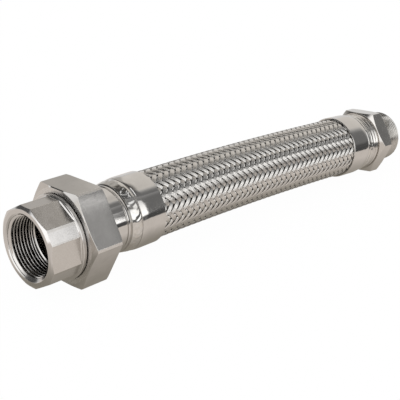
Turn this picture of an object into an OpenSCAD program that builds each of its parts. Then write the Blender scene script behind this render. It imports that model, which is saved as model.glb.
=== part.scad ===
// Flexible metal connector hose. A corrugated inner hose under a wire braid is
// welded between a union end with a female pipe thread and a hex nipple with a
// male pipe thread. It lies as it rests on a level surface: the union nut on one
// of its flats, the far nipple on one corner of its hexagon, and the hose in a
// slight even bend between them.
// Millimetres. Stations run along the centre line from the face of the female
// end. The origin is on the axis of the female thread, where its full wall
// starts, and +X runs from there into the hose.

/* [Female union end] */
// Distance across the flats of the female end
fem_af = 50.6; // [50:0.1:51]
// Distance across the cut corners of the female end
fem_ac = 52.6; // [52.2:0.1:53]
// Length of the part of the female end that a wrench holds
fem_hex_len = 21.6; // [21.3:0.1:21.9]
// Radius of the round collar behind that part
collar_r = 27.8; // [27.5:0.1:27.9]
// Roll of the female end about its axis, in degrees
fem_roll = 1.1; // [-5:0.1:5]
// Radius of the mouth at the face, outside the countersink
mouth_r = 22; // [21.6:0.1:22.4]
// Radius of the plain wall that stands for the female thread
fem_wall_r = 19.9; // [19.6:0.1:20.2]
// Length of that wall
fem_wall_len = 16.2; // [15:0.1:16.6]
// Radius of the smooth bore behind the thread
fem_bore_r = 18.4; // [18:0.1:18.6]
// Radius of the plain cylinder that stands for the outside union thread
union_thread_r = 25.3; // [25.1:0.1:25.3]

/* [Union nut] */
// Distance across the flats of the nut
nut_af = 63; // [62.6:0.1:63.4]
// Distance across the cut corners of the nut
nut_ac = 71.8; // [71.2:0.1:72.4]
// Station of the nut's open face
nut_s0 = 24.7; // [24.5:0.1:24.9]
// Length of the nut
nut_len = 20.8; // [20.6:0.1:21.2]
// Radius of the nut's threaded bore, drawn plain
nut_thread_r = 25.65; // [25.65:0.01:25.8]
// Radius of the hole in the nut's back wall
nut_back_r = 21.4; // [21.3:0.1:21.8]

/* [Union tail] */
// Outside radius of the tail's neck
tail_neck_r = 21; // [20.6:0.1:21]
// Radius of the tail's head inside the nut
tail_head_r = 24.2; // [23.8:0.1:24.4]
// Radius of the bore through the tail
tail_bore_r = 17.8; // [17.6:0.1:18]
// Radius of the tail at the weld
tail_end_r = 23.2; // [23:0.1:23.4]

/* [Hose] */
// Outside radius of the wire braid
braid_r = 23.7; // [23.6:0.1:23.8]
// Thickness of the wire braid
braid_t = 1.5; // [1.4:0.1:1.6]
// Outside radius of the hose's corrugations at their crests
crest_r = 21.9; // [21.6:0.1:21.9]
// Outside radius of the hose's corrugations at their roots
root_r = 18.8; // [18.6:0.1:19]
// Wall of the corrugated hose
hose_wall = 0.4; // [0.3:0.05:0.5]
// Number of corrugations
corrugations = 34; // [30:1:36]
// Outside radius of both ferrules
ferrule_r = 25.1; // [24.9:0.1:25.3]
// Length of both ferrules
ferrule_len = 20; // [19:0.5:21]

/* [Bend] */
// Angle that the hose turns through between its caps, in degrees
bend_angle = 4.818; // [4.8:0.001:4.83]
// Roll of the bend's plane below the horizontal, in degrees
bend_roll = 26.86; // [26.8:0.01:26.9]

/* [Hex nipple] */
// Distance across the flats of the nipple's hexagon
nip_af = 50; // [49.6:0.1:50.4]
// Length of the hexagon
nip_hex_len = 13.5; // [13:0.1:14]
// Roll of the nipple's hexagon about its axis, in degrees
nip_roll = -3.3; // [-3.3:0.1:-3]
// Radius of the plain cylinder that stands for the male thread
male_r = 20.9; // [20.8:0.1:21.1]
// Length of that cylinder
male_len = 17; // [16:0.5:18]
// Radius of the bore through the nipple
nip_bore_r = 17.6; // [17.4:0.1:18]

/* [Hidden] */
$fn = 96;

mouth_cone = mouth_r - fem_wall_r;            // 45 degree countersink
origin_s = mouth_cone;                        // station of the origin
collar_end = 24.1;                            // back of the female end's collar
near_s = 72.2;                                // cap of the hose at the union
far_s = 321.3;                                // cap of the hose at the nipple
bend_s0 = near_s;                             // the bend is even from cap to cap
bend_s1 = far_s;
bend_len = bend_s1 - bend_s0;
bend_R = bend_len / (bend_angle * PI / 180);
nip_s = 335.4;                                // front of the nipple's hexagon
male_s = nip_s + nip_hex_len + 1.5;           // start of the male cylinder
end_s = male_s + male_len + 1;                // end face of the nipple

// Everything is drawn by station and shifted once to the origin
module placed() translate([-origin_s, 0, 0]) children();

// Turns a profile of [radius, station] points about the near axis
module turned(p) rotate([0, 90, 0]) rotate_extrude($fn = 96) polygon(p);

// A bar with six flats along the near axis, its flats up and down at roll 0
module six_bar(af, s0, s1, roll) rotate([roll, 0, 0]) translate([s0, 0, 0])
    rotate([0, 90, 0]) rotate([0, 0, 30])
        linear_extrude(height = s1 - s0) circle(r = af / sqrt(3), $fn = 6);

// The frame of the far end: stations past the bend are drawn straight in it
module far_frame() rotate([bend_roll, 0, 0])
    translate([bend_s0 + bend_R * sin(bend_angle), -bend_R * (1 - cos(bend_angle)), 0])
        rotate([0, 0, -bend_angle]) translate([-bend_s1, 0, 0])
            rotate([-bend_roll, 0, 0]) children();

// ---- Union ----

// Female end: bar with cut corners, a round collar, countersunk pipe thread,
// smooth bore, outside thread and a conical seat that faces the tail
module female_union_end() color("#b5afa8") placed() difference() {
    union() {
        rotate([fem_roll, 0, 0]) intersection() {
            six_bar(fem_af, 0, fem_hex_len, 30);
            six_bar(fem_ac, 0, fem_hex_len, 0);
            turned([[0, 0], [24.4, 0], [27.4, 1.7], [27.4, fem_hex_len], [0, fem_hex_len]]);
        }
        turned([[0, fem_hex_len - 1], [24, fem_hex_len - 1], [24, fem_hex_len],
                [collar_r - 0.4, fem_hex_len], [collar_r, fem_hex_len + 0.4],
                [collar_r, collar_end - 0.5], [collar_r - 0.5, collar_end],
                [24.45, collar_end], [24.45, 24.9], [union_thread_r, 25.7],
                [union_thread_r, 35.6], [24.3, 36.4], [0, 36.4]]);
    }
    turned([[0, -1], [mouth_r + 1, -1], [fem_wall_r, mouth_cone],
            [fem_wall_r, mouth_cone + fem_wall_len], [fem_bore_r, mouth_cone + fem_wall_len + 0.9],
            [fem_bore_r, 30.9], [22.9, 36.4], [22.9, 37], [0, 37]]);
}

// Nut: bar with cut corners, open to the female end, with a back wall that
// holds the tail's head
module union_nut() color("#8f8c88") placed() difference() {
    intersection() {
        six_bar(nut_af, nut_s0, nut_s0 + nut_len, 0);
        six_bar(nut_ac, nut_s0, nut_s0 + nut_len, 30);
        turned([[0, nut_s0], [31.2, nut_s0], [36.6, nut_s0 + 1.5],
                [36.6, nut_s0 + nut_len - 0.8], [34, nut_s0 + nut_len], [0, nut_s0 + nut_len]]);
    }
    turned([[0, nut_s0 - 1], [nut_thread_r + 2.2, nut_s0 - 1], [nut_thread_r, nut_s0 + 1.2],
            [nut_thread_r, 38.6], [26.4, 39], [26.4, 41], [nut_back_r, 41],
            [nut_back_r, nut_s0 + nut_len - 0.9], [nut_back_r + 1.9, nut_s0 + nut_len + 1],
            [0, nut_s0 + nut_len + 1]]);
}

// Tail: conical nose and head inside the nut, neck, flare with a turned line,
// and a spigot that enters the weld
module union_tail() color("#a9a39b") placed() turned([
    [tail_bore_r, 31.6], [18.2, 31.6], [22.4, 36.6], [tail_head_r, 36.6], [tail_head_r, 40.8],
    [tail_neck_r, 40.8], [tail_neck_r, 51], [22.15, 61], [21.85, 61.2], [21.85, 61.5],
    [22.45, 61.7], [tail_end_r, 64.2], [21, 64.2], [21, 66.6], [tail_bore_r, 66.6]]);

// ---- Welds and ferrules ----

// Weld between the tail and the capped end of the hose, braid and ferrule
module near_weld_bead() color("#cfccc8") placed() turned([
    [21.05, 64.2], [tail_end_r, 64.2], [23.9, 65.2], [24.3, 66.4], [24.5, 67.9], [24.6, 69.6],
    [24.55, 71.2], [24.3, near_s], [18.3, near_s], [18.3, 66.6], [21.05, 66.6]]);

module far_weld_bead() color("#cfccc8") placed() far_frame() turned([
    [18.3, far_s], [24.3, far_s], [24.5, 322], [24.55, 323.6], [24.45, 325.4], [24.1, 327.2],
    [23.6, 328.5], [23, 329], [21.05, 329], [21.05, 326.6], [18.3, 326.6]]);

// Ferrule: a plain ring over the end of the braid, rounded at both ends.
// Its welded end is at station 0 here and it runs away from the weld
module ferrule_ring() turned([
    [braid_r + 0.12, 0], [24.35, 0], [24.75, 0.25], [ferrule_r - 0.08, 0.75], [ferrule_r, 1.3],
    [ferrule_r, ferrule_len - 1.1], [ferrule_r - 0.15, ferrule_len - 0.5],
    [ferrule_r - 0.5, ferrule_len], [braid_r + 0.12, ferrule_len]]);

module near_ferrule() color("#7f7f80") placed() translate([near_s, 0, 0]) ferrule_ring();

module far_ferrule() color("#7f7f80") placed() far_frame()
    translate([far_s, 0, 0]) mirror([1, 0, 0]) ferrule_ring();

// ---- Hose ----

// Centre line and the ring directions at a station, in the plane of the bend
function turn(s) = s < bend_s0 ? 0 : s > bend_s1 ? bend_angle
    : bend_angle * (s - bend_s0) / bend_len;
function line(s) = s < bend_s0 ? [s, 0, 0]
    : [bend_s0 + bend_R * sin(turn(s)), -bend_R * (1 - cos(turn(s))), 0]
      + max(0, s - bend_s1) * [cos(bend_angle), -sin(bend_angle), 0];
function on_ring(s, r, a) = line(s) + r * (cos(a) * [sin(turn(s)), cos(turn(s)), 0] + sin(a) * [0, 0, 1]);

// Corrugations: one closed profile of [station, radius], out along the outside
// and back along the inside, swept along the centre line
cuff = 5;
pitch = (far_s - near_s - 2 * cuff) / corrugations;
slope = 0.9;
crest_w = pitch * 0.5 - slope;
function wave_out(k) = let (s = near_s + cuff + k * pitch)
    [[s + pitch * 0.25 - slope / 2, root_r], [s + pitch * 0.25 + slope / 2, crest_r],
     [s + pitch * 0.75 - slope / 2, crest_r], [s + pitch * 0.75 + slope / 2, root_r]];
function wave_in(k) = let (s = near_s + cuff + k * pitch, q = hose_wall * 0.75)
    [[s + pitch * 0.75 + slope / 2 - q, root_r - hose_wall], [s + pitch * 0.75 - slope / 2 - q, crest_r - hose_wall],
     [s + pitch * 0.25 + slope / 2 + q, crest_r - hose_wall], [s + pitch * 0.25 - slope / 2 + q, root_r - hose_wall]];
profile = concat([[near_s, root_r]], [for (k = [0 : corrugations - 1]) each wave_out(k)], [[far_s, root_r]],
                 [[far_s, root_r - hose_wall]], [for (k = [corrugations - 1 : -1 : 0]) each wave_in(k)],
                 [[near_s, root_r - hose_wall]]);
sides = 16;
n = len(profile);
hose_points = [for (q = profile) for (i = [0 : sides - 1]) on_ring(q[0], q[1], i * 360 / sides)];
hose_faces = [for (j = [0 : n - 1]) for (i = [0 : sides - 1])
    let (a = j * sides + i, b = j * sides + (i + 1) % sides,
         c = ((j + 1) % n) * sides + (i + 1) % sides, d = ((j + 1) % n) * sides + i)
    each [[a, b, c], [a, c, d]]];

module corrugated_hose() color("#9aa0a3") placed() rotate([bend_roll, 0, 0])
    polyhedron(points = hose_points, faces = hose_faces, convexity = 10);

// Braid: a sleeve over the corrugations, bent evenly with them
module wire_braid() color("#8d8b88") placed() rotate([bend_roll, 0, 0])
    translate([bend_s0, -bend_R, 0]) rotate([0, 0, 90 - bend_angle])
        rotate_extrude(angle = bend_angle, $fn = 1440) translate([bend_R, 0])
            difference() { circle(r = braid_r); circle(r = braid_r - braid_t); }

// ---- Hex nipple ----

// Spigot in the weld, neck, hexagon with both ends chamfered, thread relief and
// the male end
module hex_nipple() color("#9c9893") placed() far_frame() difference() {
    union() {
        turned([[0, 326.6], [21, 326.6], [21, 329], [23.2, 329], [23.2, 334.4], [22.7, 334.9], [22.7, nip_s + 1], [0, nip_s + 1]]);
        rotate([nip_roll, 0, 0]) intersection() {
            six_bar(nip_af, nip_s, nip_s + nip_hex_len, 0);
            turned([[0, nip_s], [24.6, nip_s], [29.6, nip_s + 2.9], [29.6, nip_s + nip_hex_len - 2.2],
                    [25.4, nip_s + nip_hex_len], [0, nip_s + nip_hex_len]]);
        }
        turned([[0, nip_s + nip_hex_len - 1], [20.2, nip_s + nip_hex_len - 1], [20.2, male_s - 0.6], [male_r, male_s],
                [male_r, male_s + male_len], [male_r - 1, end_s], [0, end_s]]);
    }
    turned([[0, 320], [nip_bore_r, 320], [nip_bore_r, end_s - 0.6], [nip_bore_r + 1.6, end_s + 1], [0, end_s + 1]]);
}

female_union_end();
union_nut();
union_tail();
near_weld_bead();
near_ferrule();
corrugated_hose();
wire_braid();
far_ferrule();
far_weld_bead();
hex_nipple();
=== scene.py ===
import math

import bpy
import numpy as np
from mathutils import Matrix


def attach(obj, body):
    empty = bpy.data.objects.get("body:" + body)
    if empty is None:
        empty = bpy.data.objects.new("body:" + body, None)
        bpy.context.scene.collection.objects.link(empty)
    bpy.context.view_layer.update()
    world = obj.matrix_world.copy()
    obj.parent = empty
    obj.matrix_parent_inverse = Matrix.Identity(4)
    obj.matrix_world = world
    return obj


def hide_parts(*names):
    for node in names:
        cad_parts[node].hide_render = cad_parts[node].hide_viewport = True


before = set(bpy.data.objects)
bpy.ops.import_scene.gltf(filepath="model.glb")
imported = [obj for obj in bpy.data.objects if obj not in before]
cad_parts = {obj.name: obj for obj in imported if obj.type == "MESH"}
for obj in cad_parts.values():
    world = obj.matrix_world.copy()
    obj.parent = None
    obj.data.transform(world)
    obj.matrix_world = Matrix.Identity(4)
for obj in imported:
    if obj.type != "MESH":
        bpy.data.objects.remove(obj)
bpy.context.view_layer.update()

# ---------------------------------------------------------------- centre line
# Millimetres here. Stations run along the centre line from the female face, as in
# the CAD; the row frame starts 2.1 mm behind that face.
NEAR, FAR, START = 72.2, 321.3, 2.1
BEND, ROLL = math.radians(4.818), math.radians(26.86)
RAD = (FAR - NEAR) / BEND


def place(s, y, z):
    """Straight coordinates (station, y, z) to the bent row frame, in metres."""
    t = np.clip((s - NEAR) / (FAR - NEAR), 0, 1) * BEND
    over = np.maximum(0, s - FAR)
    cr, sr = math.cos(ROLL), math.sin(ROLL)
    a, b = y * cr + z * sr, -y * sr + z * cr
    x = np.where(s < NEAR, s, NEAR + RAD * np.sin(t)) + over * math.cos(BEND) + a * np.sin(t)
    v = -RAD * (1 - np.cos(t)) - over * math.sin(BEND) + a * np.cos(t)
    return np.stack([x - START, v * cr - b * sr, v * sr + b * cr], -1) / 1000


# ---------------------------------------------------------------- mesh builders
def make(name, co, loc, faces, edge=None, sharp=None, mat_index=None):
    me = bpy.data.meshes.new(name)
    me.from_pydata(co.reshape(-1, 3).tolist(), [], faces.tolist())
    me.polygons.foreach_set("use_smooth", np.ones(len(faces), bool))
    at = me.attributes.new("loc", "FLOAT_VECTOR", "POINT")
    at.data.foreach_set("vector", loc.reshape(-1).astype(np.float32))
    if edge is not None:
        at = me.attributes.new("edge", "FLOAT", "POINT")
        at.data.foreach_set("value", edge.reshape(-1).astype(np.float32))
    if sharp is not None:
        ev = np.zeros(len(me.edges) * 2, np.int32)
        me.edges.foreach_get("vertices", ev)
        ev = ev.reshape(-1, 2)
        line = sharp.reshape(-1)
        hit = (line[ev[:, 0]] > 0) & (line[ev[:, 0]] == line[ev[:, 1]])
        at = me.attributes.new("sharp_edge", "BOOLEAN", "EDGE")
        at.data.foreach_set("value", hit)
    if mat_index is not None:
        me.polygons.foreach_set("material_index", mat_index.astype(np.int32))
    me.update()
    ob = bpy.data.objects.new(name, me)
    bpy.context.scene.collection.objects.link(ob)
    return ob


def rounded(pts, seg=3, tip=0.08):
    """A closed loop of (station, radius, rounding); rounding 0 is a smooth point and -1 a
    sharp one. Gives (station, radius, edge, sharp) with each corner as an arc."""
    out, n = [], len(pts)
    for i in range(n):
        s, r, rho = pts[i]
        if rho <= 0:
            out.append((s, r, 0.0, 1.0 if rho < 0 else 0.0))
            continue
        ax, ay = pts[i - 1][0] - s, pts[i - 1][1] - r
        bx, by = pts[(i + 1) % n][0] - s, pts[(i + 1) % n][1] - r
        la, lb = math.hypot(ax, ay), math.hypot(bx, by)
        ax, ay, bx, by = ax / la, ay / la, bx / lb, by / lb
        half = 0.5 * math.acos(max(-0.9999, min(0.9999, ax * bx + ay * by)))
        t = min(rho / math.tan(half), 0.4 * la, 0.4 * lb)
        ta, tb = min(t + tip, 0.47 * la), min(t + tip, 0.47 * lb)
        out.append((s + ax * ta, r + ay * ta, 0.15, 0.0))
        for k in range(seg + 1):
            u = k / seg
            p, q = (1 - u) ** 2 * t, u * u * t
            out.append((s + ax * p + bx * q, r + ay * p + by * q, 1.0, 0.0))
        out.append((s + bx * tb, r + by * tb, 0.15, 0.0))
    return out


def shell(name, profile, thetas, mats, face_mat=None):
    """A closed body whose profile in the (station, radius) plane depends on the angle.
    The profile runs outside in +station and inside back."""
    th = np.asarray(thetas, float)
    g = np.array([rounded(profile(t)) for t in th]).transpose(1, 0, 2)
    m, n = g.shape[:2]
    s, r = g[..., 0], g[..., 1]
    y, z = r * np.cos(np.radians(th)), r * np.sin(np.radians(th))
    j, i = np.meshgrid(np.arange(m), np.arange(n), indexing="ij")
    j2, i2 = (j + 1) % m, (i + 1) % n
    faces = np.stack([j * n + i, j * n + i2, j2 * n + i2, j2 * n + i], -1).reshape(-1, 4)
    sharp = np.where(g[..., 3] > 0, j + 1, 0)
    mi = None
    if face_mat is not None:
        mi = face_mat(0.5 * (s + s[j2, i]), np.minimum(r, r[j2, i]), (th + 0 * s)).reshape(-1)
    ob = make(name, place(s, y, z), np.stack([s, y, z], -1), faces, g[..., 2], sharp, mi)
    for k in mats:
        ob.data.materials.append(k)
    return ob


def even(n):
    return [360 * k / n for k in range(n)]


class Bar:
    """A bar with flats (apothem, angle), its corners rounded. radius(angle) and the
    columns that draw it well."""

    def __init__(self, flats, rho, step=1.7, arcs=3):
        self.f = sorted((a % 360, ap) for ap, a in flats)
        self.rho, n = rho, len(self.f)
        self.v = []
        for k in range(n):
            (a0, p0), (a1, p1) = self.f[k], self.f[(k + 1) % n]
            d = math.radians((a1 - a0) % 360)
            q0, q1 = p0 - rho, p1 - rho
            tng = (q1 - q0 * math.cos(d)) / math.sin(d)
            c, s = math.cos(math.radians(a0)), math.sin(math.radians(a0))
            self.v.append((q0 * c - tng * s, q0 * s + tng * c))
        cols = []
        for k in range(n):
            a0, a1 = self.f[k][0], self.f[(k + 1) % n][0]
            x, y = self.v[k]
            ends = []
            for a in (a0, a1):
                px, py = x + rho * math.cos(math.radians(a)), y + rho * math.sin(math.radians(a))
                ends.append(math.degrees(math.atan2(py, px)) % 360)
            if (ends[1] - ends[0]) % 360 > 180:
                ends.reverse()
            w = (ends[1] - ends[0]) % 360
            cols.append((ends[0], w))
        self.cols = []
        for k in range(n):
            e0, w = cols[k]
            e1 = cols[(k + 1) % n][0]
            self.cols += [e0 - 0.16] + [e0 + w * q / arcs for q in range(arcs + 1)] + [e0 + w + 0.16]
            a, b = e0 + w + 0.16, e0 + w + 0.16 + (e1 - 0.16 - (e0 + w + 0.16)) % 360
            k2 = max(2, round((b - a) / step))
            self.cols += [a + (b - a) * q / k2 for q in range(1, k2)]
        self.cols = sorted(c % 360 for c in self.cols)

    def radius(self, t):
        dx, dy = math.cos(math.radians(t)), math.sin(math.radians(t))
        best = 1e9
        for a, p in self.f:
            c = math.cos(math.radians(t - a))
            if c > 0.2:
                best = min(best, p / c)
        n = len(self.f)
        for k in range(n):
            a0, a1 = self.f[k][0], self.f[(k + 1) % n][0]
            x, y = self.v[k]
            bq = dx * x + dy * y
            disc = bq * bq - (x * x + y * y - self.rho ** 2)
            if bq > 0 and disc > 0:
                h = bq + math.sqrt(disc)
                ang = math.degrees(math.atan2(dy * h - y, dx * h - x)) % 360
                if (ang - a0) % 360 <= (a1 - a0) % 360:
                    best = min(best, h)
        return best


def vee(x, flat=0.13):
    """Thread section: 0 in the root, 1 on the crest, x in turns."""
    t = abs((x % 1.0) - 0.5) * 2
    return max(0.0, min(1.0, (t - flat) / (1 - 2 * flat)))


def ease(x, a, b):
    u = max(0.0, min(1.0, (x - a) / (b - a)))
    return u * u * (3 - 2 * u)


# ---------------------------------------------------------------- node helpers
class Tree:
    def __init__(self, tree):
        self.t = tree
        self.t.nodes.clear()

    def node(self, kind, inputs=(), **props):
        n = self.t.nodes.new(kind)
        for k, v in props.items():
            setattr(n, k, v)
        for k, v in dict(inputs).items():
            self.put(n.inputs[k], v)
        return n

    def put(self, socket, v):
        if isinstance(v, bpy.types.NodeSocket):
            self.t.links.new(v, socket)
        else:
            socket.default_value = v

    def m(self, op, *a, clamp=False):
        n = self.t.nodes.new("ShaderNodeMath")
        n.operation, n.use_clamp = op, clamp
        for k, v in enumerate(a):
            self.put(n.inputs[k], v)
        return n.outputs[0]

    def ramp(self, x, a, b, lo=0.0, hi=1.0, kind="SMOOTHSTEP"):
        n = self.node("ShaderNodeMapRange", {0: x, 1: a, 2: b, 3: lo, 4: hi}, interpolation_type=kind)
        return n.outputs[0]

    def mix(self, f, a, b):
        n = self.t.nodes.new("ShaderNodeMix")
        n.data_type = "RGBA"
        self.put(n.inputs[0], f)
        for k, v in ((6, a), (7, b)):
            if not isinstance(v, bpy.types.NodeSocket) and len(v) == 3:
                v = (*v, 1.0)
            self.put(n.inputs[k], v)
        return n.outputs[2]

    def lerp(self, f, a, b):
        return self.m("ADD", self.m("MULTIPLY", self.m("SUBTRACT", 1.0, f), a), self.m("MULTIPLY", f, b))

    def noise(self, vec, scale, detail=3.0, rough=0.55, dist=0.0):
        return self.node("ShaderNodeTexNoise", {"Vector": vec, "Scale": scale, "Detail": detail,
                                                "Roughness": rough, "Distortion": dist}).outputs["Fac"]

    def scaled(self, vec, x, y, z):
        return self.node("ShaderNodeMapping", {"Vector": vec, "Scale": (x, y, z)}).outputs[0]

    def attr(self, name, out="Vector"):
        return self.node("ShaderNodeAttribute", attribute_name=name).outputs[out]


def steel(name, base, rough, grain="turned", grain_amt=0.05, blotch=0.05, blotch_scale=0.09,
          rough_var=0.25, edge_lift=0.12, aniso=0.0, rot=0.0, pits=0.0, tint=None, tint_amt=0.0, wear=0.05, gap_shade=0.0):
    """Stainless steel. grain: turned (rings round the axis), drawn (lines along it),
    cast (fine even texture)."""
    mat = bpy.data.materials.new(name)
    mat.use_nodes = True
    t = Tree(mat.node_tree)
    loc = t.attr("loc")
    # broad uneven tone, then the finer grain of the finish
    broad = t.noise(loc, blotch_scale, 4.0, 0.6)
    if grain == "turned":
        fine = t.noise(t.scaled(loc, 5.0, 0.05, 0.05), 1.0, 5.0, 0.7)
        finer = t.noise(t.scaled(loc, 18.0, 0.12, 0.12), 1.0, 3.0, 0.6)
    elif grain == "drawn":
        fine = t.noise(t.scaled(loc, 0.10, 3.2, 3.2), 1.0, 5.0, 0.7)
        finer = t.noise(t.scaled(loc, 0.5, 9.0, 9.0), 1.0, 3.0, 0.6)
    else:
        fine = t.noise(loc, 1.3, 6.0, 0.7)
        finer = t.noise(loc, 5.0, 4.0, 0.6)
    scratch = t.noise(t.scaled(loc, 0.35, 2.2, 6.0), 1.0, 8.0, 0.8, 0.6)
    marks = t.ramp(scratch, 0.66, 0.74)
    edge = t.attr("edge", "Fac")
    lo = [c * (1 - blotch) for c in base]
    hi = [min(1.0, c * (1 + blotch)) for c in base]
    col = t.mix(t.ramp(broad, 0.32, 0.68), lo, hi)
    col = t.mix(t.m("MULTIPLY", t.ramp(fine, 0.35, 0.65), 0.35), col, [c * 0.93 for c in base])
    if tint is not None:
        col = t.mix(t.m("MULTIPLY", t.ramp(t.noise(loc, 0.22, 3.0), 0.4, 0.7), tint_amt), col, tint)
    if pits:
        pit = t.ramp(t.noise(loc, 2.6, 2.0), 0.66, 0.72)
        col = t.mix(t.m("MULTIPLY", pit, pits), col, [c * 0.35 for c in base])
    if gap_shade:
        # painted shade between the bundles, whose middle lines lie 7.3 apart in loc
        across = t.m("SUBTRACT", t.m("FLOORED_MODULO", t.node("ShaderNodeSeparateXYZ", {0: loc}).outputs[1], 7.3), 3.65)
        painted_gap_shade = t.ramp(t.m("ABSOLUTE", across), 1.3, 1.55)
        col = t.mix(t.m("MULTIPLY", painted_gap_shade, gap_shade), col, [c * 0.12 for c in base])
    col = t.mix(t.m("MULTIPLY", edge, edge_lift), col, [min(1.0, c * 1.25) for c in base])
    rg = t.m("MULTIPLY", t.lerp(t.ramp(broad, 0.3, 0.7), 1 - rough_var, 1 + rough_var), rough)
    rg = t.m("ADD", rg, t.m("MULTIPLY", t.m("SUBTRACT", fine, 0.5), rough * 0.5))
    rg = t.m("ADD", rg, t.m("MULTIPLY", marks, wear))
    rg = t.m("MAXIMUM", t.m("SUBTRACT", rg, t.m("MULTIPLY", edge, rough * 0.25)), 0.03)
    h = t.m("ADD", fine, t.m("MULTIPLY", finer, 0.5))
    bump = t.node("ShaderNodeBump", {"Strength": grain_amt, "Distance": 0.0002, "Height": h})
    p = t.node("ShaderNodeBsdfPrincipled", {"Base Color": col, "Roughness": rg, "Normal": bump.outputs[0]})
    p.inputs["Metallic"].default_value = 1.0
    if aniso:
        p.inputs["Anisotropic"].default_value = aniso
        p.inputs["Anisotropic Rotation"].default_value = rot
        tan = t.node("ShaderNodeTangent", direction_type="RADIAL", axis="X")
        t.t.links.new(tan.outputs[0], p.inputs["Tangent"])
    o = t.node("ShaderNodeOutputMaterial")
    t.t.links.new(p.outputs[0], o.inputs[0])
    return mat


STEEL = (0.62, 0.60, 0.575)
m_female = steel("female_satin_steel", STEEL, 0.20, "drawn", 0.03, 0.03)
m_female_turned = steel("female_turned_steel", (0.65, 0.635, 0.62), 0.13, "turned", 0.03, 0.02, aniso=0.6, rot=0.25)
m_thread = steel("female_thread_steel", (0.62, 0.605, 0.585), 0.16, "turned", 0.02, 0.03)
m_nut = steel("nut_satin_steel", (0.58, 0.565, 0.545), 0.045, "drawn", 0.02, 0.05, 0.12, rough_var=0.3, wear=0.03)
m_nut_turned = steel("nut_turned_steel", (0.66, 0.645, 0.625), 0.34, "turned", 0.04, 0.03, aniso=0.4, rot=0.25)
m_tail = steel("tail_turned_steel", (0.64, 0.625, 0.605), 0.055, "turned", 0.02, 0.04, wear=0.02)
m_weld = steel("weld_steel", (0.66, 0.65, 0.63), 0.10, "cast", 0.10, 0.08, 0.5, pits=0.35, tint=(0.55, 0.47, 0.36), tint_amt=0.2)
m_ferrule = steel("ferrule_polished_steel", (0.62, 0.605, 0.585), 0.08, "turned", 0.04, 0.05, wear=0.03)
# the hose's steel is darkened partly as oxide and partly as painted shade where it shows through the gaps of the braid
m_hose = steel("hose_steel", (0.30, 0.285, 0.27), 0.35, "turned", 0.05, 0.06)
# the braid wire carries painted shade along the sides of its bundles
m_wire = steel("braid_wire_steel", (0.70, 0.685, 0.66), 0.14, "cast", 0.01, 0.06, 0.4, edge_lift=0.0, gap_shade=0.55)
m_nipple = steel("nipple_satin_steel", STEEL, 0.15, "turned", 0.03, 0.04)
m_male = steel("nipple_thread_steel", (0.56, 0.545, 0.52), 0.18, "turned", 0.02, 0.03)


def settle(ob, body, node):
    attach(ob, body)
    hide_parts(node)
    return ob


# ---------------------------------------------------------------- female union end
def sixes(ap, a0):
    return [(ap, a0 + 60 * k) for k in range(6)]


fem_bar = Bar(sixes(25.3, 1.1) + sixes(26.3, 31.1), 0.35)
PIPE = 25.4 / 11.5
pipe_rows = [0.12 + (18.25 - 0.12) * k / 134 for k in range(135)]
union_rows = [25.05 + (36.2 - 25.05) * k / 89 for k in range(90)]


def pipe_wall(s, t):
    # taper pipe thread, cut from the face and running out before the smooth bore
    major = 21.05 - (s - 2.1) / 32
    cut = 1 - ease(s, 15.6, 18.1)
    r = major - 1.77 + 1.77 * (1 - vee(s / PIPE - t / 360, 0.10)) * cut + 0.35 * (1 - cut)
    return max(r, 21.95 - s * 1.3)


def union_male(s, t):
    r = 24.72 + 1.13 * vee(s / 2 - t / 360)
    return min(r, 24.45 + (s - 25.0) * 1.1, 24.35 + (36.4 - s) * 1.3)


def fem_profile(t):
    # bar, a steep facet at the end of each flat, a collar that falls away to the rear, neck
    b = fem_bar.radius(t)
    f = min(0.9, 27.1 - b)
    p = [(0, 22.0, 0.10), (0, 24.4, 0.12), ((b - 24.4) * 1.7 / 3, b, 0.22), (21.6 - 0.55 * f, b, -1), (21.6, b + f, -1)]
    p += [(21.6, 27.4, 0.12), (22.0, 27.8, 0.2), (24.0, 27.55, 0.1), (24.1, 24.5, 0.1), (24.9, 24.5, 0.1)]
    p += [(s, union_male(s, t), 0) for s in union_rows]
    p += [(36.4, 24.2, -1), (36.4, 22.9, 0.1), (30.9, 18.4, 0.25), (19.15, 18.4, 0.12), (18.6, 18.95, 0.1), (18.4, 19.55, 0)]
    p += [(s, pipe_wall(s, t), 0) for s in reversed(pipe_rows)]
    return p


def fem_faces(s, r, t):
    # 0 flats, 1 turned corners, chamfers and faces, 2 threads and bore
    mi = np.zeros(s.shape)
    inner = r < 22.2
    bevel = np.abs((t - 1.1 + 1e-6) % 60 - 30) < 8.2
    mi[(s < 21.4) & ~inner & bevel] = 1
    mi[(~inner) & ((s < 0.02) | (r < 25.28) | (s > 20.2) & (r > 25.7) & ~bevel | (s > 21.0))] = 1
    mi[inner | (s > 24.9)] = 2
    return mi


female = shell("female_union_end_turned", fem_profile, fem_bar.cols, [m_female, m_female_turned, m_thread], fem_faces)
settle(female, "female_end", "female_union_end")

# ---------------------------------------------------------------- union nut
nut_bar = Bar(sixes(31.5, 30) + sixes(35.85, 0), 0.5)
nut_rows = [26.15 + (38.35 - 26.15) * k / 97 for k in range(98)]


def nut_profile(t):
    b = min(nut_bar.radius(t), 36.5)
    p = [(24.7, 27.9, 0.18), (24.7, min(31.2, b - 0.8), 0.2), (24.7 + max(0.35, (b - 31.2) * 1.5 / 5.4), b, 0.15),
         (45.5 - max(0.12, (b - 34) * 0.8 / 2.6), b, 0.15), (45.5, min(34, b - 0.2), 0.1),
         (45.5, 22.3, 0.15), (44.6, 21.4, 0.15), (41, 21.4, 0.15), (41, 26.4, 0.25), (38.9, 26.4, 0.1)]
    p += [(s, max(24.95 + 1.1 * vee(s / 2 - t / 360), 26.3 - (38.5 - s) * 1.2, 26.4 - (s - 26.1) * 1.1), 0)
          for s in reversed(nut_rows)]
    return p


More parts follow.
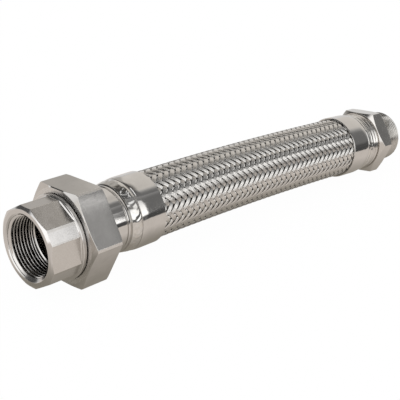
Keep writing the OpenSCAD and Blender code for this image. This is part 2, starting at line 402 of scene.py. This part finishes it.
def nut_faces(s, r, t):
    mi = np.zeros(s.shape)
    mi[(s < 25.0) & (r < 30.6)] = 1
    mi[(r < 27.8)] = 1
    mi[(r > 31.8) & (np.abs((t + 30) % 60 - 30) < 1.7)] = 1
    return mi


nut = shell("union_nut_turned", nut_profile, nut_bar.cols, [m_nut, m_nut_turned], nut_faces)
settle(nut, "nut", "union_nut")

# ---------------------------------------------------------------- union tail
tail_loop = [(31.6, 17.8, 0.1), (31.6, 18.2, 0.1), (36.6, 22.4, 0.15), (36.6, 24.2, 0.2), (40.8, 24.2, 0.2),
             (40.8, 21.0, 0.2), (48, 21.0, 1.5), (52, 22.03, 2.0), (60.8, 22.1, 0.12), (61.05, 21.85, 0.06),
             (61.45, 21.85, 0.06), (61.8, 22.5, 0.15), (64.5, 22.85, 0), (64.6, 21.0, -1), (66.5, 21.0, 0.1),
             (66.5, 17.8, 0.1), (49, 17.8, 0)]
tail = shell("union_tail_turned", lambda t: tail_loop, even(144), [m_tail])
settle(tail, "hose", "union_tail")


# ---------------------------------------------------------------- welds
def bead(name, early, late, ripples, seed, inner, node):
    """A weld bead: rows of (station, radius), with the crown early or late along it. The
    crown wanders between the two, with soft lumps and faint crescents round it."""
    s0, s1 = early[0][0], early[-1][0]
    fine = np.linspace(s0, s1, 48)
    one = np.interp(fine, [r[0] for r in early], [r[1] for r in early])
    two = np.interp(fine, [r[0] for r in late], [r[1] for r in late])

    def prof(t):
        lean = ease(t, 84, 96) * (1 - ease(t, 144, 154))
        lean = max(lean, 0.35 + 0.25 * math.sin(math.radians(5 * t) + seed) - ease(t, 140, 150) * (1 - ease(t, 166, 176)))
        w = []
        for s, r1, r2 in zip(fine, one, two):
            u = (s - s0) / (s1 - s0)
            env = math.sin(math.pi * u) ** 0.7 if 0 < u < 1 else 0.0
            r = r1 + (r2 - r1) * lean
            q = t / 360 * ripples + 0.9 * (2 * u - 1) ** 2 + 0.5 * math.sin(math.radians(5 * t) + seed)
            crescent = math.cos(2 * math.pi * q)
            lump = (math.sin(math.radians(11 * t) + seed + 2.1 * u) + 0.9 * math.sin(math.radians(17 * t) + 2 * seed - 3 * u)
                    + 0.7 * math.sin(math.radians(29 * t) - seed + 5 * u) + 0.5 * math.sin(math.radians(41 * t) + 7 * u))
            w.append((s, r + env * (0.035 * crescent + 0.042 * lump), 0))
        return w + inner

    ob = shell(name, prof, even(360), [m_weld])
    settle(ob, "hose", node)
    return ob


bead("near_weld_ripples",
     [(64.3, 23.2), (64.6, 23.42), (65.2, 23.68), (66, 23.93), (67, 24.1), (68, 24.22), (69.2, 24.32), (70.5, 24.38), (71.6, 24.4), (72.15, 24.25)],
     [(64.3, 22.9), (64.6, 23.05), (65.2, 23.22), (66, 23.43), (67, 23.71), (68, 23.99), (69.2, 24.3), (70.5, 24.48), (71.6, 24.46), (72.15, 24.25)],
     46, 0.7, [(72.15, 18.3, -1), (66.6, 18.3, -1), (66.6, 21.05, -1), (64.3, 21.05, -1)], "near_weld_bead")
bead("far_weld_ripples",
     [(321.35, 24.25), (321.9, 24.42), (323.2, 24.4), (324.4, 24.15), (325.2, 23.8), (325.7, 23.75), (326.6, 24.15), (327.2, 24.15), (328.2, 23.7), (329.0, 23.0)],
     [(321.35, 24.25), (321.9, 24.46), (323.4, 24.38), (324.6, 24.05), (325.4, 23.75), (325.9, 23.72), (326.8, 24.05), (327.4, 24.05), (328.3, 23.6), (329.0, 22.95)],
     44, 2.1, [(329.0, 21.05, -1), (326.6, 21.05, -1), (326.6, 18.3, -1), (321.35, 18.3, -1)], "far_weld_bead")


# ---------------------------------------------------------------- ferrules
def ferrule(name, s0, d, node):
    loop = [(0.05, 23.82, 0.1), (0.0, 24.45, 0.25), (0.8, 24.72, 0), (1.8, 24.86, 0), (2.8, 24.97, 0), (3.8, 25.05, 0), (4.8, 25.09, 0), (6, 25.1, 0),
            (19.65, 25.1, 0.12), (20.0, 24.75, 0.12), (20.0, 24.2, 0.15), (19.9, 23.82, 0.1), (10, 23.82, 0)]
    pts = [(s0 + d * s, r, q) for s, r, q in loop]
    if d < 0:
        pts.reverse()
    ob = shell(name, lambda t: pts, even(180), [m_ferrule])
    settle(ob, "hose", node)
    return ob


ferrule("near_ferrule_ring", NEAR, 1, "near_ferrule")
ferrule("far_ferrule_ring", FAR, -1, "far_ferrule")

# ---------------------------------------------------------------- corrugated hose
hose_loop = []
waves = 34
pitch = (FAR - NEAR - 10) / waves


def wave(s):
    u = (s - NEAR - 5) / pitch
    c = -math.cos(2 * math.pi * u)
    return 18.85 + 3.0 * (0.5 + 0.5 * math.tanh(1.9 * c) / math.tanh(1.9)) if 0 < u < waves else 18.85


outer = [NEAR, NEAR + 3] + [NEAR + 5 + pitch * k / 9 for k in range(waves * 9 + 1)] + [FAR - 3, FAR]
hose_loop = [(s, wave(s), 0) for s in outer] + [(s, wave(s) - 0.4, 0) for s in reversed(outer)]
hose_loop[0] = (NEAR, 18.85, -1)
hose_loop[len(outer) - 1] = (FAR, 18.85, -1)
hose_loop[len(outer)] = (FAR, 18.45, -1)
hose_loop[-1] = (NEAR, 18.45, -1)
hose = shell("corrugated_hose_wall", lambda t: hose_loop, even(64), [m_hose])
settle(hose, "hose", "corrugated_hose")

# ---------------------------------------------------------------- wire braid
# 24 bundles each way, each over two and under two. Seven wires lie side by side in a bundle.
BUNDLES, STEP_S, R_MID = 24, 5.461, 22.95
SLOPE = math.radians(15) / STEP_S            # radians round the axis per mm along it
LEAN = math.atan(R_MID * SLOPE)
WIRES, WIRE_GAP = 7, 0.445


def bundle_section():
    """(across, up, valley flag) round one bundle, top side first."""
    sec = []
    for k in range(WIRES):
        w = (k - (WIRES - 1) / 2) * WIRE_GAP
        if k == 0:
            sec.append((w - 0.215, -0.02, 0))
        sec.append((w, 0.205, 0))
        if k < WIRES - 1:
            sec.append((w + WIRE_GAP / 2, 0.02, 1))
        else:
            sec.append((w + 0.215, -0.02, 0))
    half = (WIRES - 1) / 2 * WIRE_GAP
    sec += [(half * 0.85, -0.17, 0), (0.0, -0.19, 0), (-half * 0.85, -0.17, 0)]
    return sec


def braid(name, hand, part, s0=89.0, s1=304.5, seg=218):
    sec = bundle_section()
    w = np.array([q[0] for q in sec])
    up = np.array([q[1] for q in sec])
    flag = np.array([q[2] for q in sec])
    top = 0.16 * (1 - (w / 1.6) ** 2)
    n = len(sec)
    co, lo, fa, sh = [], [], [], []
    base = 0
    for i in range(part, BUNDLES, 2):
        s = np.linspace(s0, s1, seg + 1)
        if hand > 0:
            th = 127 + 15 * ((s - 96) / STEP_S - 0.81 - i)
        else:
            th = 170.5 - 15 * ((s - 96) / STEP_S - 0.245 - i)
        c = np.cos(2 * np.pi * (th - 125.75) / 30) * hand
        lift = 0.40 * np.tanh(0.9 * c) / math.tanh(0.9)
        S = s[:, None] - w[None, :] * math.sin(LEAN) * hand
        T = np.radians(th)[:, None] + w[None, :] * math.cos(LEAN) / R_MID
        Rr = R_MID + lift[:, None] + up[None, :] + top[None, :]
        y, z = Rr * np.cos(T), Rr * np.sin(T)
        co.append(place(S, y, z).reshape(-1, 3))
        # straight coordinates along and across the bundle, for the finish and for the painted shade between bundles
        along = (s - s0) / math.cos(LEAN)
        lo.append(np.stack([along[:, None] + 0 * S, w[None, :] + 0 * S + 7.3 * i + 3.65, up[None, :] + 0 * S], -1).reshape(-1, 3))
        j, k = np.meshgrid(np.arange(seg), np.arange(n), indexing="ij")
        k2 = (k + 1) % n
        f = np.stack([base + j * n + k, base + j * n + k2, base + (j + 1) * n + k2, base + (j + 1) * n + k], -1).reshape(-1, 4)
        fa.append(f)
        sh.append(np.where(flag[None, :] > 0, (np.arange(n) + 1)[None, :] + base, 0) + np.zeros((seg + 1, 1), int))
        base += (seg + 1) * n
    co, lo, fa, sh = np.concatenate(co), np.concatenate(lo), np.concatenate(fa), np.concatenate([q.reshape(-1) for q in sh])
    ob = make(name, co, lo, fa, None, sh)
    ob.data.materials.append(m_wire)
    settle(ob, "hose", "wire_braid")
    return ob


for part in (0, 1):
    braid("wire_braid_right_%d" % (part + 1), 1, part)
    braid("wire_braid_left_%d" % (part + 1), -1, part)

# ---------------------------------------------------------------- hex nipple
nip_bar = Bar(sixes(25.0, 30 - 3.3), 0.45, step=2.0, arcs=4)


male_rows = [351.4 + (368.2 - 351.4) * k / 114 for k in range(115)]


def male_wall(s, t):
    # taper pipe thread, running out towards the hexagon
    crest = 20.95 + (367.6 - s) / 32
    r = crest - 1.45 * (1 - vee(s / PIPE - t / 360, 0.16))
    return min(r, 21.0 - max(0.0, s - 367.7) * 1.2)


def nip_profile(t):
    b = nip_bar.radius(t)
    end = min(25.4, b - 0.3)
    return [(326.6, 17.6, 0.1), (326.6, 21.0, -1), (328.9, 21.0, -1), (328.9, 22.9, -1), (329.7, 22.9, 0.2), (331.4, 23.4, 0.2),
            (332.4, 23.35, 0.2), (334.3, 23.85, 0.3), (334.8, 22.9, 0.2), (335.4, 22.9, 0.1), (335.4, 24.6, 0.15), (335.4 + max(0.2, (b - 24.6) * 2.9 / 5), b, 0.25),
            (348.9 - max(0.15, (b - 25.4) * 2.2 / 4.2), b, 0.25), (348.9, end, 0.12),
            (348.9, 20.2, 0.3), (350.6, 20.0, 0.2)] + [
            (s, male_wall(s, t), 0) for s in male_rows] + [(368.35, 19.1, 0.1),
            (368.35, 18.2, 0.12), (367.8, 17.6, 0.2), (347, 17.6, 0)]


def nip_faces(s, r, t):
    return ((s > 350.8) & (r > 19.2) & (s < 368.2)).astype(float)


nipple = shell("hex_nipple_turned", nip_profile, nip_bar.cols, [m_nipple, m_male], nip_faces)
settle(nipple, "hose", "hex_nipple")


# ---------------------------------------------------------------- studio
def stage_plane(name, pts, z, mat, camera=True, glossy=True):
    me = bpy.data.meshes.new(name)
    me.from_pydata([(x / 1000, y / 1000, z / 1000) for x, y in pts], [], [list(range(len(pts)))])
    me.update()
    if me.polygons[0].normal.z < 0:
        me.flip_normals()
    ob = bpy.data.objects.new(name, me)
    bpy.context.scene.collection.objects.link(ob)
    ob.data.materials.append(mat)
    ob.visible_camera, ob.visible_glossy = camera, glossy
    return ob


floor_mat = bpy.data.materials.new("floor_pale")
floor_mat.use_nodes = True
floor_mat.cycles.emission_sampling = "NONE"
ft = Tree(floor_mat.node_tree)
fd = ft.node("ShaderNodeBsdfDiffuse", {"Color": (0.93, 0.93, 0.93, 1)})
fe = ft.node("ShaderNodeEmission", {"Color": (1, 1, 1, 1), "Strength": 1.0})
fs = ft.node("ShaderNodeMixShader", {0: 0.98, 1: fd.outputs[0], 2: fe.outputs[0]})
ftr = ft.node("ShaderNodeBsdfTransparent")
fm = ft.node("ShaderNodeMixShader", {0: ft.node("ShaderNodeNewGeometry").outputs["Backfacing"], 1: fs.outputs[0], 2: ftr.outputs[0]})
fo = ft.node("ShaderNodeOutputMaterial")
ft.t.links.new(fm.outputs[0], fo.inputs[0])
floor = stage_plane("floor", [(-9000, -9000), (9000, -9000), (9000, 9000), (-9000, 9000)], -31.56, floor_mat, True, False)

# what the steel mirrors of the table: a warm pale top with a straight edge in front, and a painted shadow under the
# part
table_mat = bpy.data.materials.new("table_top")
table_mat.use_nodes = True
tt = Tree(table_mat.node_tree)
pos = tt.node("ShaderNodeNewGeometry").outputs["Position"]
sep = tt.node("ShaderNodeSeparateXYZ", {0: pos})
dx = tt.m("MAXIMUM", tt.m("MAXIMUM", tt.m("SUBTRACT", -0.01, sep.outputs[0]), tt.m("SUBTRACT", sep.outputs[0], 0.375)), 0.0)
dd = tt.m("SQRT", tt.m("ADD", tt.m("MULTIPLY", dx, dx), tt.m("MULTIPLY", sep.outputs[1], sep.outputs[1])))
# painted shadow: the top's colour falls to a dark brown close to the part
shadow_ramp = tt.ramp(dd, 0.008, 0.060)
tcol = tt.mix(shadow_ramp, (0.31, 0.285, 0.245), (0.79, 0.73, 0.68))
te = tt.node("ShaderNodeEmission", {"Color": tcol, "Strength": 1.0})
to = tt.node("ShaderNodeOutputMaterial")
tt.t.links.new(te.outputs[0], to.inputs[0])
table_mat.cycles.emission_sampling = "NONE"
ux, uy = 213 / 219.3, 52 / 219.3
ex, ey = 215, -170
table = stage_plane("table_top", [(ex - 1200 * ux, ey - 1200 * uy), (ex + 1500 * ux, ey + 1500 * uy),
                                  (ex + 1500 * ux - 1500 * uy, ey + 1500 * uy + 1500 * ux), (ex - 1200 * ux - 1500 * uy, ey - 1200 * uy + 1500 * ux)],
                    -31.54, table_mat, False, True)
table.visible_diffuse = False
table.visible_shadow = False
table.visible_transmission = False
table.visible_volume_scatter = False

# a soft box and a dark screen side by side, some way in front of the part
wall_mat = bpy.data.materials.new("front_cards")
wall_mat.use_nodes = True
wt = Tree(wall_mat.node_tree)
wsep = wt.node("ShaderNodeSeparateXYZ", {0: wt.node("ShaderNodeNewGeometry").outputs["Position"]})
wx, wz = wsep.outputs[0], wsep.outputs[2]
gloom = wt.m("MULTIPLY", wt.ramp(wz, -0.03, 0.33, 0.09, 0.21), wt.ramp(wz, 1.5, 2.3, 1.0, 1.6))
# a panel in the dark screen: pale along its top, with a dark bar over it
wr = wt.m("ADD", wz, wt.m("MULTIPLY", wt.m("SUBTRACT", wx, 1.25), 0.155))
panel = wt.lerp(wt.ramp(wr, 1.000, 1.010), 0.46, 0.98)
panel = wt.lerp(wt.ramp(wr, 1.038, 1.046), panel, 0.25)
panel_at = wt.m("MULTIPLY", wt.ramp(wz, 0.60, 0.68), wt.ramp(wz, 1.14, 1.20, 1.0, 0.0))
panel_at = wt.m("MULTIPLY", panel_at, wt.m("MULTIPLY", wt.ramp(wx, 1.16, 1.17), wt.ramp(wt.m("SUBTRACT", wx, wt.m("MULTIPLY", wz, 0.45)), 0.885, 0.903, 1.0, 0.0)))
gloom = wt.lerp(panel_at, gloom, panel)
card = wt.lerp(wt.m("MULTIPLY", wt.ramp(wx, 1.12, 1.16, 1.0, 0.0), wt.m("MULTIPLY", wt.ramp(wz, -0.02, 0.10), wt.ramp(wz, 1.43, 1.65, 1.0, 0.0))), gloom, wt.ramp(wz, 0.2, 1.3, 1.85, 1.05, "LINEAR"))
we = wt.node("ShaderNodeEmission", {"Color": (1, 1, 1, 1), "Strength": card})
wto = wt.node("ShaderNodeOutputMaterial")
wt.t.links.new(we.outputs[0], wto.inputs[0])
wall_mat.cycles.emission_sampling = "NONE"
wme = bpy.data.meshes.new("front_cards")
wme.from_pydata([(-0.37, -1.5, -0.031), (2.6, -1.5, -0.031), (2.6, -1.5, 2.4), (-0.37, -1.5, 2.4)], [], [[0, 1, 2, 3]])
wall = bpy.data.objects.new("front_cards", wme)
bpy.context.scene.collection.objects.link(wall)
wall.data.materials.append(wall_mat)
wall.visible_camera = wall.visible_diffuse = wall.visible_shadow = False
wall.visible_transmission = wall.visible_volume_scatter = False

# a strip light overhead, past the middle of the hose
strip_mat = bpy.data.materials.new("overhead_strip")
strip_mat.use_nodes = True
st = Tree(strip_mat.node_tree)
sx = st.node("ShaderNodeSeparateXYZ", {0: st.node("ShaderNodeNewGeometry").outputs["Position"]})
glow = st.m("MULTIPLY", st.ramp(sx.outputs[0], 0.29, 0.32), st.ramp(sx.outputs[0], 0.41, 0.44, 1.0, 0.0))
glow = st.m("MULTIPLY", glow, st.ramp(sx.outputs[1], -0.02, 0.02, 1.0, 0.0))
se = st.node("ShaderNodeEmission", {"Color": (1, 1, 1, 1), "Strength": st.lerp(glow, 0.10, 1.6)})
so = st.node("ShaderNodeOutputMaterial")
st.t.links.new(se.outputs[0], so.inputs[0])
strip_mat.cycles.emission_sampling = "NONE"
strip = stage_plane("overhead_strip", [(290, -520), (440, -520), (440, 20), (290, 20)], 1000, strip_mat, False, True)
strip.visible_diffuse = strip.visible_shadow = strip.visible_transmission = strip.visible_volume_scatter = False

world = bpy.data.worlds.new("studio")
bpy.context.scene.world = world
world.use_nodes = True
w = Tree(world.node_tree)
gen = w.node("ShaderNodeTexCoord").outputs["Generated"]
ws = w.node("ShaderNodeSeparateXYZ", {0: w.node("ShaderNodeVectorMath", {0: gen}, operation="NORMALIZE").outputs[0]})
az = w.m("MULTIPLY", w.m("ARCTAN2", ws.outputs[1], ws.outputs[0]), 180 / math.pi)
el = w.m("MULTIPLY", w.m("ARCSINE", ws.outputs[2]), 180 / math.pi)


def span(x, a, b, c, d):
    """1 between b and c, fading to 0 at a and d."""
    return w.m("MULTIPLY", w.ramp(x, a, b), w.ramp(x, c, d, 1.0, 0.0))


grey = w.m("ADD", 0.0, 0.60)
# bright backdrop low behind the part, softer above it and to its side
back = span(az, -30, -8, 95, 120)
high = w.lerp(w.ramp(az, 49.5, 54), 0.84, 0.56)
sky = w.lerp(w.ramp(el, 8, 14), 0.80, high)
light = w.lerp(back, grey, sky)
# the same backdrop to the left and behind the camera, under a dark ceiling
left = w.m("MAXIMUM", w.ramp(az, 100, 118), w.ramp(az, -118, -108, 1.0, 0.0))
rear = w.m("MAXIMUM", w.ramp(az, 152, 166), w.ramp(az, -166, -152, 1.0, 0.0))
top = w.m("SUBTRACT", el, w.m("MULTIPLY", rear, 14.0))
light = w.lerp(left, light, w.m("MULTIPLY", w.ramp(top, 25, 36, 1.15, 0.08), w.lerp(rear, 1.0, 1.35)))
# dark side of the room
dark = span(az, -72, -56, -30, -12)
light = w.lerp(dark, light, w.ramp(el, -6, 12, 0.09, 0.22))
# dark beyond the table's edge
brink = w.m("MULTIPLY", span(az, -122, -112, -66, -58), w.ramp(el, -2, 3, 1.0, 0.0))
light = w.lerp(brink, light, 0.15)
# a dark doorway to the left
door = w.m("MULTIPLY", span(az, 98, 108, 137, 147), w.m("MULTIPLY", w.ramp(el, 2, 7), w.ramp(el, 60, 66, 1.0, 0.0)))
light = w.lerp(door, light, 0.10)
# dark ceiling
light = w.lerp(w.ramp(el, 50, 66), light, 0.10)
warm_f = w.m("MULTIPLY", w.ramp(el, 6, 20), back)
one = w.node("ShaderNodeCombineColor", {0: light, 1: light, 2: light}).outputs[0]
two = w.node("ShaderNodeCombineColor", {0: light, 1: w.m("MULTIPLY", light, 0.955), 2: w.m("MULTIPLY", light, 0.90)}).outputs[0]
tone = w.mix(warm_f, one, two)
# below the edge of the table
low = w.ramp(el, -30, -14, 1.0, 0.0)
warm = w.mix(w.m("MULTIPLY", low, 0.85), tone, (0.50, 0.46, 0.43))
path = w.node("ShaderNodeLightPath")
shown = w.m("MAXIMUM", path.outputs["Is Camera Ray"], path.outputs["Is Transmission Ray"])
bg_studio = w.node("ShaderNodeBackground", {"Color": warm, "Strength": 1.0})
bg_soft = w.node("ShaderNodeBackground", {"Color": (1, 1, 1, 1), "Strength": 1.1})
bg_white = w.node("ShaderNodeBackground", {"Color": (1, 1, 1, 1), "Strength": 1.0})
mix1 = w.node("ShaderNodeMixShader", {0: path.outputs["Is Diffuse Ray"], 1: bg_studio.outputs[0], 2: bg_soft.outputs[0]})
mix2 = w.node("ShaderNodeMixShader", {0: shown, 1: mix1.outputs[0], 2: bg_white.outputs[0]})
wo = w.node("ShaderNodeOutputWorld")
w.t.links.new(mix2.outputs[0], wo.inputs[0])
world.cycles.sampling_method = "NONE"

# ---------------------------------------------------------------- camera
cam_data = bpy.data.cameras.new("camera")
cam = bpy.data.objects.new("camera", cam_data)
bpy.context.scene.collection.objects.link(cam)
right, up_v, fwd = (0.694, -0.720, 0.0), (0.2617, 0.2522, 0.9316), (0.6708, 0.6466, -0.3634)
cam.matrix_world = Matrix(((right[0], up_v[0], -fwd[0], -0.2450), (right[1], up_v[1], -fwd[1], -0.3784),
                           (right[2], up_v[2], -fwd[2], 0.2016), (0, 0, 0, 1)))
cam_data.sensor_fit, cam_data.sensor_width, cam_data.lens = "HORIZONTAL", 36, 72.38
cam_data.clip_start, cam_data.clip_end = 0.02, 30
bpy.context.scene.camera = cam

vs = bpy.context.scene.view_settings
vs.view_transform, vs.look, vs.exposure, vs.gamma = "Standard", "None", 0.0, 1.0
